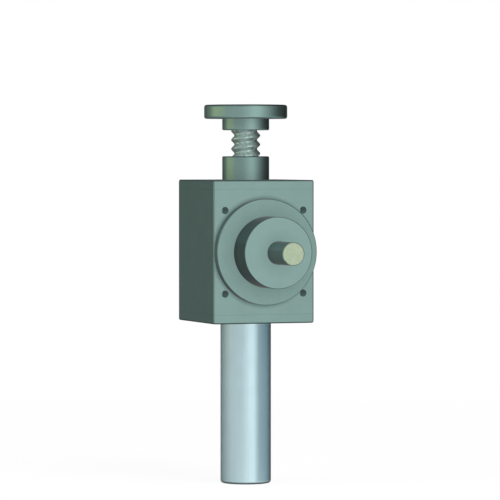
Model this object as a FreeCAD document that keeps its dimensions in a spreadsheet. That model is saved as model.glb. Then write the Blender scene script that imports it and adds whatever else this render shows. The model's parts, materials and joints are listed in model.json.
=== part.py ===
"""Bevel gear screw jack with a rotating nut: a cube housing, an input shaft at its front and a lifting screw.

Millimetres. The origin is the middle of the housing's lower mounting face, on the axis of the lifting
screw. +Z is the lifting direction and the input shaft points along -Y.
"""
import math
import os
import re

import FreeCAD
import Part
import Sketcher

os.makedirs("parts", exist_ok=True)
doc = FreeCAD.newDocument("ScrewJack")
sheet = doc.addObject("Spreadsheet::Sheet", "Sizes")

# Driving sizes in millimetres, angles in degrees
SIZES = (
    # housing
    ("housing_width", "117"),
    ("housing_height", "157"),
    ("housing_rounding", "2"),
    ("input_level", "78.5"),
    ("base_hole_inset", "13.5"),
    ("base_hole_diameter", "8.5"),
    ("base_hole_depth", "18"),
    ("front_hole_inset", "13"),
    ("front_hole_diameter", "8"),
    ("front_hole_depth", "17"),
    ("chamber_gap", "5.9"),
    ("relief_depth", "4"),
    ("relief_width", "5"),
    # clearances, each measured on the radius or along the axis
    ("fit_gap", "0.03"),
    ("running_gap", "0.3"),
    ("rolling_gap", "0.12"),
    ("groove_gap", "0.1"),
    ("screw_gap", "0.3"),
    # upper cover with the neck
    ("neck_diameter", "52"),
    ("neck_height", "26"),
    ("neck_rounding", "1.5"),
    ("cover_clearance", "2"),
    ("bush_wall", "3.7"),
    ("bush_lip_width", "2"),
    ("bush_lip_height", "6"),
    ("wiper_step", "1.5"),
    ("wiper_height", "5"),
    ("wiper_lip", "0.6"),
    ("spanner_hole_diameter", "6"),
    ("spanner_hole_depth", "6"),
    ("spanner_circle", "76"),
    # protective tube
    ("tube_diameter", "56"),
    ("tube_wall", "4"),
    ("tube_length", "179"),
    ("tube_rounding", "3.4"),
    ("tube_ledge", "3"),
    ("tube_seat_width", "3"),
    ("cap_thickness", "6"),
    ("cap_recess", "1"),
    # input side, measured outward from the front face of the housing
    ("ring_margin", "0.5"),
    ("ring_thickness", "10"),
    ("boss_diameter", "78"),
    ("boss_length", "34.5"),
    ("carrier_rounding", "1"),
    ("shaft_diameter", "25"),
    ("shaft_length", "45"),
    ("shaft_chamfer", "0.8"),
    ("shaft_relief", "0.3"),
    ("shaft_hole_gap", "0.5"),
    ("lip_thickness", "4.5"),
    ("spigot_diameter", "74"),
    ("spigot_gap", "1"),
    ("seal_diameter", "47"),
    ("seal_width", "6"),
    ("seal_gap", "1"),
    ("seal_lip", "1"),
    ("ball_bearing_bore", "30"),
    ("ball_bearing_outer", "55"),
    ("ball_bearing_width", "13"),
    ("ball_diameter", "7.5"),
    ("ball_count", "11"),
    ("cage_sheet", "2"),
    ("groove_land", "1.7"),
    ("ring_groove_depth", "1.4"),
    ("retaining_ring_width", "1.6"),
    ("retaining_ring_wall", "4.5"),
    # bevel gears
    ("gear_pitch_diameter", "85"),
    ("pinion_teeth", "17"),
    ("gear_teeth", "34"),
    ("face_width", "13"),
    ("tooth_tip", "1"),
    ("tooth_root", "1.25"),
    ("tooth_sink", "0.4"),
    ("tooth_backlash", "0.3"),
    ("pressure_angle", "20"),
    ("gear_mounting", "29.5"),
    ("gear_rim", "2.9"),
    ("gear_screw_count", "6"),
    ("gear_screw_diameter", "5"),
    ("gear_screw_head", "8.5"),
    ("gear_screw_head_height", "3.6"),
    ("gear_screw_key", "4"),
    ("gear_screw_reach", "7"),
    # nut and its two tapered roller bearings
    ("lower_bearing_bore", "60"),
    ("lower_bearing_outer", "95"),
    ("lower_bearing_width", "23"),
    ("lower_roller_count", "20"),
    ("upper_bearing_bore", "50"),
    ("upper_bearing_outer", "80"),
    ("upper_bearing_width", "20"),
    ("upper_roller_count", "19"),
    ("roller_tilt", "12.5"),
    ("nut_flange_step", "0.6"),
    ("nut_flange_thickness", "8"),
    ("nut_waist_step", "1.5"),
    ("nut_collar_diameter", "57"),
    ("nut_collar_height", "6"),
    ("nut_collar_level", "19.5"),
    ("nut_lower_gap", "2"),
    ("nut_upper_rise", "2"),
    # lifting screw and its end pieces
    ("screw_diameter", "32"),
    ("screw_pitch", "10"),
    ("thread_depth", "3.3"),
    ("thread_crest", "1.6"),
    ("thread_flank", "46"),
    ("thread_run_in", "11.35"),
    ("screw_showing", "28.8"),
    ("screw_spigot_diameter", "22"),
    ("screw_spigot_recess", "1"),
    ("hub_diameter", "52"),
    ("hub_height", "12.6"),
    ("hub_rounding", "1.5"),
    ("plate_diameter", "92"),
    ("plate_thickness", "15.5"),
    ("plate_rounding", "2.6"),
    ("plate_hole_inset", "10"),
    ("plate_hole_diameter", "9"),
    ("lock_screw_diameter", "6"),
    ("lock_screw_bite", "2"),
    ("lock_screw_sink", "1"),
    ("lock_screw_key", "3"),
    ("lowering_travel", "22"),
    ("stop_ring_margin", "6"),
    ("stop_ring_gap", "2"),
    ("stop_ring_height", "12"),
    ("stop_spigot_diameter", "20"),
    ("stop_pin_diameter", "5"),
    ("stop_pin_inset", "1.5"),
    # grease nipple at the back of the housing
    ("nipple_thread_diameter", "8"),
    ("nipple_end_gap", "2"),
    ("nipple_hex", "10"),
    ("nipple_hex_height", "4"),
    ("nipple_cone_height", "3"),
    ("nipple_neck_diameter", "4.4"),
    ("nipple_neck_height", "2"),
    ("nipple_head_diameter", "6.2"),
    ("nipple_head_height", "4.2"),
    ("nipple_bore", "1.8"),
)
ALIASES = {alias for alias, _ in SIZES}
for row, (alias, figure) in enumerate(SIZES, start=1):
    sheet.set(f"A{row}", alias.replace("_", " "))
    sheet.set(f"B{row}", figure)
    sheet.setAlias(f"B{row}", alias)
doc.recompute()

UP = FreeCAD.Vector(0, 0, 1)
ORIGIN = FreeCAD.Vector()

# Levels and radii that several pieces share, as expressions of the driving sizes
MODULE = "(gear_pitch_diameter / gear_teeth)"
TEETH_DIAGONAL = "sqrt(pinion_teeth ^ 2 + gear_teeth ^ 2)"
SMALL_END = f"(1 - 2 * face_width / ({MODULE} * {TEETH_DIAGONAL}))"


def root_point(teeth, mate, scale):
    """(radius, height) of the root cone at one end of the teeth, from the apex of the cone."""
    radius = f"{scale} * {MODULE} * ({teeth} / 2 - tooth_root * {mate} / {TEETH_DIAGONAL})"
    height = f"{scale} * {MODULE} * ({mate} / 2 + tooth_root * {teeth} / {TEETH_DIAGONAL})"
    return radius, height


PINION_SMALL = root_point("pinion_teeth", "gear_teeth", SMALL_END)
PINION_LARGE = root_point("pinion_teeth", "gear_teeth", "1")
GEAR_SMALL = root_point("gear_teeth", "pinion_teeth", SMALL_END)
GEAR_LARGE = root_point("gear_teeth", "pinion_teeth", "1")
GEAR_TIP = f"{MODULE} * (gear_teeth / 2 + tooth_tip * pinion_teeth / {TEETH_DIAGONAL})"
GEAR_SEAT = f"({GEAR_SMALL[0]} - gear_rim)"
GEAR_EDGE = f"({GEAR_LARGE[0]} - {MODULE} * tooth_sink)"
GEAR_SCREW_CIRCLE = f"({GEAR_SEAT} + {GEAR_EDGE})"
GEAR_BACK_LEVEL = "(input_level - gear_mounting)"
NUT_FLANGE_LEVEL = f"({GEAR_BACK_LEVEL} - nut_flange_thickness)"
FLOOR = f"({NUT_FLANGE_LEVEL} - lower_bearing_width)"
NUT_BOTTOM = f"({FLOOR} + nut_lower_gap)"
CHAMBER = f"({GEAR_TIP} + chamber_gap)"
UPPER_BEARING_LEVEL = "(input_level + nut_collar_level + nut_collar_height)"
COVER_BOTTOM = f"({UPPER_BEARING_LEVEL} + cover_clearance)"
COVER_ROOF = f"({UPPER_BEARING_LEVEL} + upper_bearing_width)"
NUT_TOP = f"({COVER_ROOF} + nut_upper_rise)"
BUSH_BOTTOM = f"({COVER_ROOF} + relief_depth + bush_lip_height)"
NECK_TOP = "(housing_height + neck_height)"
BUSH_TOP = f"({NECK_TOP} - wiper_height)"
GUIDE = "(screw_diameter / 2 + running_gap)"
BUSH = f"({GUIDE} + bush_wall)"
WIPER = f"({BUSH} + wiper_step)"
HUB_BOTTOM = f"({NECK_TOP} + screw_showing)"
PLATE_BOTTOM = f"({HUB_BOTTOM} + hub_height)"
PLATE_TOP = f"({PLATE_BOTTOM} + plate_thickness)"
LOCK_LEVEL = f"({HUB_BOTTOM} + hub_height / 2)"
TUBE_SOCKET = f"({FLOOR} - relief_depth - tube_ledge)"
STOP_RING = "(tube_diameter / 2 - tube_wall - stop_ring_gap)"
STOP_RING_BOTTOM = "(cap_recess + cap_thickness + stop_ring_margin + lowering_travel - tube_length)"
STOP_SHOULDER = f"({STOP_RING_BOTTOM} + stop_ring_height)"
FRONT = "(housing_width / 2)"
RING_FACE = f"({FRONT} + ring_thickness)"
RING = f"({FRONT} - ring_margin)"
BOSS_END = f"({RING_FACE} + boss_length)"
SHAFT_END = f"({BOSS_END} + shaft_length)"
SPIGOT_END = f"({CHAMBER} + spigot_gap)"
SEAL_END = f"({BOSS_END} - lip_thickness)"
SEAL_START = f"({SEAL_END} - seal_width)"
SEAL_JOURNAL = "((shaft_diameter + ball_bearing_bore) / 4)"
FRONT_BEARING = f"({SEAL_START} - retaining_ring_width - seal_gap - ball_bearing_width)"
REAR_BEARING = f"({SPIGOT_END} + groove_land + groove_gap + retaining_ring_width)"

# Proportions of a tapered roller bearing: shares of its width, then shares of the roller's radius
CUP_SHARE = 0.4
CONE_SHARE = 0.42
ROLLER_SHARE = 0.62
RIB_RISE = 0.7
RIB_START = 0.3
CAGE_SHARE = 0.3


def bound(text):
    """The expression with each driving size named by its sheet."""
    return re.sub(r"[a-z_]+", lambda word: f"Sizes.{word[0]}" if word[0] in ALIASES else word[0], text)


def number(text):
    """The value of an expression of driving sizes."""
    return float(sheet.evalExpression(bound(text)))


def add_sketch(body, name, plane_role, offset=None):
    """A sketch on one of the body's own origin planes, moved along the plane's normal by an expression."""
    sketch = body.newObject("Sketcher::SketchObject", name)
    plane = next(item for item in body.Origin.OriginFeatures if item.Role == plane_role)
    sketch.AttachmentSupport = [(plane, "")]
    sketch.MapMode = "FlatFace"
    if offset:
        sketch.setExpression("AttachmentOffset.Base.z", bound(offset))
    return sketch


def pin_point(sketch, curve, end, across, along):
    """Holds one point of a sketch at two expressions."""
    for kind, axis, text in (("DistanceX", -2, across), ("DistanceY", -1, along)):
        if text == "0":
            sketch.addConstraint(Sketcher.Constraint("PointOnObject", curve, end, axis))
        else:
            index = sketch.addConstraint(Sketcher.Constraint(kind, curve, end, number(text)))
            sketch.setExpression(f"Constraints[{index}]", bound(text))


def draw_outline(sketch, points):
    """Draws a closed outline through points given as pairs of expressions."""
    corners = [FreeCAD.Vector(number(across), number(along), 0) for across, along in points]
    count = len(corners)
    for index in range(count):
        sketch.addGeometry(Part.LineSegment(corners[index], corners[(index + 1) % count]))
    for index in range(count):
        sketch.addConstraint(Sketcher.Constraint("Coincident", index, 2, (index + 1) % count, 1))
    for index, (across, along) in enumerate(points):
        pin_point(sketch, index, 1, across, along)


def draw_circles(sketch, centres, radius):
    """Draws equal circles at centres given as pairs of expressions."""
    for index, (across, along) in enumerate(centres):
        middle = FreeCAD.Vector(number(across), number(along), 0)
        sketch.addGeometry(Part.Circle(middle, UP, number(radius)))
        pin_point(sketch, index, 3, across, along)
        held = sketch.addConstraint(Sketcher.Constraint("Radius", index, number(radius)))
        sketch.setExpression(f"Constraints[{held}]", bound(radius))


def new_body(label):
    body = doc.addObject("PartDesign::Body", label)
    body.Label = label
    return body


def turn(body, name, points, kind="PartDesign::Revolution"):
    """Turns an outline of (radius, height) pairs about the body's Z axis, as material or as a groove."""
    sketch = add_sketch(body, f"{body.Name}_{name}_outline", "XZ_Plane")
    draw_outline(sketch, points)
    doc.recompute()
    feature = body.newObject(kind, f"{body.Name}_{name}")
    feature.Profile = sketch
    feature.ReferenceAxis = (sketch, ["V_Axis"])
    feature.Angle = 360
    doc.recompute()
    return feature


def turn_round_groove(body, name, centre, radius):
    """Turns a groove of round section about the body's Z axis, and checks that it takes material away."""
    before = body.Shape.Volume
    sketch = add_sketch(body, f"{body.Name}_{name}_section", "XZ_Plane")
    draw_circles(sketch, centre, radius)
    doc.recompute()
    feature = body.newObject("PartDesign::Groove", f"{body.Name}_{name}")
    feature.Profile = sketch
    feature.ReferenceAxis = (sketch, ["V_Axis"])
    feature.Angle = 360
    doc.recompute()
    if body.Shape.Volume > before - 1:
        raise RuntimeError(f"{name} takes nothing from {body.Label}")


def turned_body(label, points):
    body = new_body(label)
    turn(body, "turning", points)
    return body


def ring_body(label, inner, outer, low, high):
    """A plain ring of rectangular section."""
    return turned_body(label, [(inner, low), (outer, low), (outer, high), (inner, high)])


def pocket(body, name, plane_role, centres, radius, depth, offset=None, reverse=False):
    """Drills equal round holes from one of the body's planes, and checks that they take material away."""
    before = body.Shape.Volume
    sketch = add_sketch(body, f"{body.Name}_{name}_centres", plane_role, offset)
    draw_circles(sketch, centres, radius)
    doc.recompute()
    feature = body.newObject("PartDesign::Pocket", f"{body.Name}_{name}")
    feature.Profile = sketch
    feature.setExpression("Length", bound(depth))
    feature.Reversed = reverse
    doc.recompute()
    if body.Shape.Volume > before - 1:
        raise RuntimeError(f"{name} takes nothing from {body.Label}")
    return feature


def dress_edges(body, name, test, amount, kind="PartDesign::Fillet"):
    """Rounds or chamfers the edges of the body's last feature that pass a test."""
    tip = body.Tip
    names = [f"Edge{index}" for index, edge in enumerate(tip.Shape.Edges, start=1) if test(edge)]
    if not names:
        raise RuntimeError(f"{name} finds no edge on {body.Label}")
    feature = body.newObject(kind, f"{body.Name}_{name}")
    feature.Base = (tip, names)
    feature.setExpression("Radius" if kind.endswith("Fillet") else "Size", bound(amount))
    doc.recompute()
    return feature


def circle_of(edge):
    """The circle that an edge lies on, or None for any other edge."""
    try:
        curve = edge.Curve
    except TypeError:
        return None
    return curve if isinstance(curve, Part.Circle) else None


def rim(radius, level):
    """A test for the full circles of one radius at one height."""
    wanted_radius = number(radius)
    wanted_level = number(level)

    def is_rim(edge):
        circle = circle_of(edge)
        if circle is None:
            return False
        return abs(circle.Radius - wanted_radius) < 0.01 and abs(circle.Center.z - wanted_level) < 0.01

    return is_rim


def square_centres(spacing, across_from="0", along_from="0"):
    """The four corners of a square of holes."""
    signs = ((-1, -1), (1, -1), (1, 1), (-1, 1))
    half = f"({spacing}) / 2"
    return [(f"{across_from} + {x} * {half}", f"{along_from} + {y} * {half}") for x, y in signs]


def circle_centres(count, circle, first=0.0):
    """Centres on a pitch circle, the first at an angle in degrees."""
    angles = [f"({first + 360.0 * index / count} * 1 deg)" for index in range(count)]
    half = f"({circle}) / 2"
    return [(f"{half} * cos{angle}", f"{half} * sin{angle}") for angle in angles]


def shaped(label, shape):
    """A piece whose shape is worked out in code from the sheet's sizes."""
    piece = doc.addObject("Part::Feature", label)
    piece.Label = label
    piece.Shape = shape
    return piece


def copies_round(shape, count, first=0.0):
    """Copies of a shape spaced evenly round Z."""
    out = []
    for index in range(int(count)):
        copy = shape.copy()
        copy.rotate(ORIGIN, UP, first + 360.0 * index / count)
        out.append(copy)
    return out


def hexagon(across_flats, centre, along=UP):
    """A flat hexagon about a point, square to a direction."""
    corner = FreeCAD.Vector(number(across_flats) / math.sqrt(3), 0, 0)
    corners = [FreeCAD.Rotation(UP, 60 * step).multVec(corner) for step in range(7)]
    face = Part.Face(Part.makePolygon(corners))
    face.Placement = FreeCAD.Placement(centre, FreeCAD.Rotation(UP, along))
    return face


def on_input_axis(piece, angle=90):
    """Lays a piece turned about Z along the input axis, its +Z out of the front, or of the back at -90."""
    piece.Placement = FreeCAD.Placement(ORIGIN, FreeCAD.Rotation(FreeCAD.Vector(1, 0, 0), angle))
    piece.setExpression("Placement.Base.z", bound("input_level"))
    return piece


def at_level(piece, level, turned_over=False):
    """Raises a piece to a level, turned over about X where asked."""
    angle = 180 if turned_over else 0
    piece.Placement = FreeCAD.Placement(ORIGIN, FreeCAD.Rotation(FreeCAD.Vector(1, 0, 0), angle))
    piece.setExpression("Placement.Base.z", bound(level))
    return piece


def build_housing():
    """Cube housing with a stepped vertical bore, a front bore, tapped holes and a grease hole."""
    body = new_body("housing")
    outline = add_sketch(body, "housing_plan", "XY_Plane")
    draw_outline(outline, square_centres("housing_width"))
    doc.recompute()
    block = body.newObject("PartDesign::Pad", "housing_block")
    block.Profile = outline
    block.setExpression("Length", bound("housing_height"))
    doc.recompute()
    dress_edges(body, "rounded_edges", lambda edge: True, "housing_rounding")
    socket = "tube_diameter / 2 + fit_gap"
    seat = "tube_diameter / 2 - tube_seat_width"
    relief = "lower_bearing_bore / 2 + relief_width"
    relief_level = f"{FLOOR} - relief_depth"
    bearing_seat = "lower_bearing_outer / 2 + fit_gap"
    over = "housing_height + 1"
    bore = [
        ("0", "-1"),
        (socket, "-1"),
        (socket, TUBE_SOCKET),
        (seat, TUBE_SOCKET),
        (seat, relief_level),
        (relief, relief_level),
        (relief, FLOOR),
        (bearing_seat, FLOOR),
        (bearing_seat, NUT_FLANGE_LEVEL),
        (CHAMBER, NUT_FLANGE_LEVEL),
        (CHAMBER, over),
        ("0", over),
    ]
    turn(body, "main_bore", bore, "PartDesign::Groove")
    on_axis = [("0", "input_level")]
    pocket(body, "front_bore", "XZ_Plane", on_axis, "spigot_diameter / 2 + fit_gap", FRONT, reverse=True)
    corners = square_centres("housing_width - 2 * front_hole_inset", along_from="input_level")
    pocket(body, "front_holes", "XZ_Plane", corners, "front_hole_diameter / 2", "front_hole_depth", FRONT)
    base = square_centres("housing_width - 2 * base_hole_inset")
    pocket(body, "base_holes", "XY_Plane", base, "base_hole_diameter / 2", "base_hole_depth", reverse=True)
    reach = f"{FRONT} - {CHAMBER} + 1"
    pocket(body, "grease_hole", "XZ_Plane", on_axis, "nipple_thread_diameter / 2", reach, f"-{FRONT}", True)


def build_top_cover():
    """Screwed-in upper cover with the neck, the seats of bearing, bush and wiper, and spanner holes."""
    outer = f"{CHAMBER} - fit_gap"
    seat = "upper_bearing_outer / 2 + fit_gap"
    relief = "upper_bearing_outer / 2 - relief_width"
    relief_level = f"{COVER_ROOF} + relief_depth"
    points = [
        (seat, COVER_BOTTOM),
        (outer, COVER_BOTTOM),
        (outer, "housing_height"),
        ("neck_diameter / 2", "housing_height"),
        ("neck_diameter / 2", NECK_TOP),
        (f"{WIPER} + fit_gap", NECK_TOP),
        (f"{WIPER} + fit_gap", BUSH_TOP),
        (f"{BUSH} + fit_gap", BUSH_TOP),
        (f"{BUSH} + fit_gap", BUSH_BOTTOM),
        (f"{BUSH} - bush_lip_width", BUSH_BOTTOM),
        (f"{BUSH} - bush_lip_width", relief_level),
        (relief, relief_level),
        (relief, COVER_ROOF),
        (seat, COVER_ROOF),
    ]
    body = turned_body("top_cover", points)
    holes = circle_centres(4, "spanner_circle", 45)
    depth = "spanner_hole_depth"
    pocket(body, "spanner_holes", "XY_Plane", holes, "spanner_hole_diameter / 2", depth, "housing_height")
    dress_edges(body, "neck_edge", rim("neck_diameter / 2", NECK_TOP), "neck_rounding")


def build_neck_pieces():
    """Guide bush in the neck, and the wiper ring over it with its lip on the screw."""
    ring_body("neck_guide_bush", GUIDE, BUSH, BUSH_BOTTOM, BUSH_TOP)
    lip = [
        (f"{GUIDE} + 3 * wiper_lip", BUSH_TOP),
        (WIPER, BUSH_TOP),
        (WIPER, NECK_TOP),
        (f"{GUIDE} + 2 * wiper_lip", NECK_TOP),
        (GUIDE, f"{NECK_TOP} - wiper_lip"),
        (GUIDE, f"{NECK_TOP} - 2 * wiper_lip"),
    ]
    turned_body("screw_wiper", lip)


def build_tube():
    """Protective tube with a rounded lower edge, and the disc that closes it."""
    inner = "(tube_diameter / 2 - tube_wall)"
    outer = "tube_diameter / 2"
    body = ring_body("protective_tube", inner, outer, "-tube_length", TUBE_SOCKET)
    dress_edges(body, "end_rounding", rim(outer, "-tube_length"), "tube_rounding")
    low = "cap_recess - tube_length"
    high = f"{low} + cap_thickness"
    edge = f"{inner} - fit_gap"
    turned_body("tube_end_cap", [("0", low), (edge, low), (edge, high), ("0", high)])


def build_carrier():
    """Input bearing carrier: spigot, round flange and boss in one turned piece, with its closing pieces."""
    outer_ring = "(ball_bearing_outer / 2)"
    inner_ring = "(ball_bearing_bore / 2)"
    bore = f"{outer_ring} + fit_gap"
    groove = f"{outer_ring} + ring_groove_depth + groove_gap"
    groove_low = f"{SPIGOT_END} + groove_land"
    seal_seat = "seal_diameter / 2 + fit_gap"
    hole = "shaft_diameter / 2 + shaft_hole_gap"
    bearing_stop = f"{FRONT_BEARING} + ball_bearing_width"
    points = [
        (bore, SPIGOT_END),
        ("spigot_diameter / 2", SPIGOT_END),
        ("spigot_diameter / 2", FRONT),
        (RING, FRONT),
        (RING, RING_FACE),
        ("boss_diameter / 2", RING_FACE),
        ("boss_diameter / 2", BOSS_END),
        (hole, BOSS_END),
        (hole, SEAL_END),
        (seal_seat, SEAL_END),
        (seal_seat, bearing_stop),
        (bore, bearing_stop),
        (bore, REAR_BEARING),
        (groove, REAR_BEARING),
        (groove, groove_low),
        (bore, groove_low),
    ]
    carrier = turned_body("input_bearing_carrier", points)
    edges = (rim(RING, RING_FACE), rim("boss_diameter / 2", BOSS_END))
    dress_edges(carrier, "edge_rounding", lambda edge: any(test(edge) for test in edges), "carrier_rounding")
    ring_outer = f"{outer_ring} + ring_groove_depth"
    ring_inner = f"{ring_outer} - retaining_ring_wall"
    ring_low = f"{REAR_BEARING} - retaining_ring_width"
    retainer = ring_body("carrier_retaining_ring", ring_inner, ring_outer, ring_low, REAR_BEARING)
    seal_inner = f"{SEAL_JOURNAL} + running_gap"
    section = [
        (f"{seal_inner} + 4 * seal_lip", SEAL_START),
        ("seal_diameter / 2", SEAL_START),
        ("seal_diameter / 2", SEAL_END),
        (f"{seal_inner} + seal_lip", SEAL_END),
        (seal_inner, f"{SEAL_END} - 1.5 * seal_lip"),
        (seal_inner, f"{SEAL_END} - 2.5 * seal_lip"),
        (f"{seal_inner} + 3 * seal_lip", f"{SEAL_END} - 4 * seal_lip"),
    ]
    seal = turned_body("input_shaft_seal", section)
    between = f"{REAR_BEARING} + ball_bearing_width"
    wall = "(ball_bearing_outer - ball_bearing_bore) / 8"
    far = ring_body("outer_bearing_spacer", f"{outer_ring} - {wall}", outer_ring, between, FRONT_BEARING)
    near = ring_body("inner_bearing_spacer", inner_ring, f"{inner_ring} + {wall}", between, FRONT_BEARING)
    for piece in (carrier, retainer, seal, far, near):
        on_input_axis(piece)


def bevel_teeth(teeth, mate):
    """Straight bevel teeth in a cone that opens along +Z from its apex at the origin, one tooth on +X."""
    module = number(MODULE)
    count = number(teeth)
    cone = math.atan2(count, number(mate))
    pitch_radius = module * count / 2
    back_radius = pitch_radius / math.cos(cone)
    back_centre = pitch_radius / math.sin(cone) / math.cos(cone)
    pressure = math.radians(number("pressure_angle"))
    base_radius = back_radius * math.cos(pressure)
    half_angle = (math.pi * module / 2 - number("tooth_backlash") / 2) / 2 / back_radius
    tip_radius = back_radius + module * number("tooth_tip")
    sunk_radius = back_radius - module * number("tooth_root + tooth_sink")
    start_radius = max(base_radius, sunk_radius)
    half_base = half_angle + math.tan(pressure) - pressure

    def flank_angle(radius):
        roll = math.acos(min(1.0, base_radius / radius))
        return half_base - (math.tan(roll) - roll)

    def place(radius, angle, scale):
        reach = radius * math.cos(angle)
        across = radius * math.sin(angle)
        point = FreeCAD.Vector(reach * math.cos(cone), across, back_centre - reach * math.sin(cone))
        return point * scale

    def outline(scale):
        radii = [start_radius + (tip_radius - start_radius) * step / 4 for step in range(5)]
        right = [place(radius, -flank_angle(radius), scale) for radius in radii]
        left = [place(radius, flank_angle(radius), scale) for radius in reversed(radii)]
        right_curve = Part.BSplineCurve()
        right_curve.interpolate(right)
        left_curve = Part.BSplineCurve()
        left_curve.interpolate(left)
        edges = [right_curve.toShape(), Part.makeLine(right[-1], left[0]), left_curve.toShape()]
        foot = left[-1]
        if sunk_radius < start_radius:
            low_left = place(sunk_radius, half_base, scale)
            low_right = place(sunk_radius, -half_base, scale)
            edges += [Part.makeLine(foot, low_left), Part.makeLine(low_left, low_right)]
            edges.append(Part.makeLine(low_right, right[0]))
        else:
            edges.append(Part.makeLine(foot, right[0]))
        return Part.Wire(edges)

    tooth = Part.makeLoft([outline(1.0), outline(number(SMALL_END))], True, True)
    return tooth, int(count)


def toothed(label, blank, teeth, mate, first):
    """Joins bevel teeth to a turned blank, the first tooth at an angle in degrees from +X."""
    tooth, count = bevel_teeth(teeth, mate)
    crown = shaped(f"{label}_teeth", Part.makeCompound(copies_round(tooth, count, first)))
    joined = doc.addObject("Part::MultiFuse", label)
    joined.Label = label
    joined.Shapes = [blank, crown]
    doc.recompute()
    return joined


def build_pinion_shaft():
    """Input shaft with its bevel pinion, and the ring that holds the front bearing on it."""
    journal = "(ball_bearing_bore / 2 - fit_gap)"
    groove = f"({journal} - ring_groove_depth)"
    groove_low = f"({FRONT_BEARING} + ball_bearing_width)"
    ring_high = f"{groove_low} + retaining_ring_width"
    groove_high = f"{ring_high} + groove_gap"
    step_level = f"{SEAL_END} - seal_gap"
    shaft = "shaft_diameter / 2"
    points = [
        ("0", PINION_SMALL[1]),
        PINION_SMALL,
        PINION_LARGE,
        (PINION_LARGE[0], REAR_BEARING),
        (journal, REAR_BEARING),
        (journal, groove_low),
        (groove, groove_low),
        (groove, groove_high),
        (SEAL_JOURNAL, groove_high),
        (SEAL_JOURNAL, step_level),
        (f"{shaft} - shaft_relief", step_level),
        (f"{shaft} - shaft_relief", BOSS_END),
        (shaft, BOSS_END),
        (shaft, f"{SHAFT_END} - shaft_chamfer"),
        (f"{shaft} - shaft_chamfer", SHAFT_END),
        ("0", SHAFT_END),
    ]
    blank = turned_body("pinion_blank", points)
    on_input_axis(toothed("pinion_shaft", blank, "pinion_teeth", "gear_teeth", -90.0))
    outer = f"{groove} + retaining_ring_wall"
    ring = ring_body("shaft_retaining_ring", f"{groove} + groove_gap", outer, groove_low, ring_high)
    on_input_axis(ring)


def build_ball_bearing(prefix, start):
    """Deep-groove ball bearing on the input axis: two rings, the balls and their cage."""
    middle = f"({start} + ball_bearing_width / 2)"
    ends = (start, f"{start} + ball_bearing_width")
    wall = "(ball_bearing_outer - ball_bearing_bore) / 6"
    rings = (
        ("inner_ring", "ball_bearing_bore / 2", f"ball_bearing_bore / 2 + {wall}"),
        ("outer_ring", f"ball_bearing_outer / 2 - {wall}", "ball_bearing_outer / 2"),
    )
    pitch = "(ball_bearing_bore + ball_bearing_outer) / 4"
    pocket_radius = "ball_diameter / 2 + rolling_gap"
    for name, inside, outside in rings:
        ring = ring_body(f"{prefix}_{name}", inside, outside, *ends)
        turn_round_groove(ring, "track", [(pitch, middle)], pocket_radius)
        on_input_axis(ring)
    level = number(middle)
    pitch_radius = number(pitch)
    seat = FreeCAD.Vector(pitch_radius, 0, level)
    count = number("ball_count")
    balls = copies_round(Part.makeSphere(number("ball_diameter / 2"), seat), count)
    on_input_axis(shaped(f"{prefix}_balls", Part.makeCompound(balls)))
    half_sheet = number("cage_sheet / 2")
    width = number(f"2 * ({pocket_radius}) + cage_sheet")
    foot = UP * (level - width / 2)
    cage = Part.makeCylinder(pitch_radius + half_sheet, width, foot)
    cage = cage.cut(Part.makeCylinder(pitch_radius - half_sheet, width, foot))
    drill = Part.makeCylinder(number(pocket_radius), 2 * pitch_radius, UP * level, FreeCAD.Vector(1, 0, 0))
    cage = cage.cut(copies_round(drill, count))
    on_input_axis(shaped(f"{prefix}_cage", cage))


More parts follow.
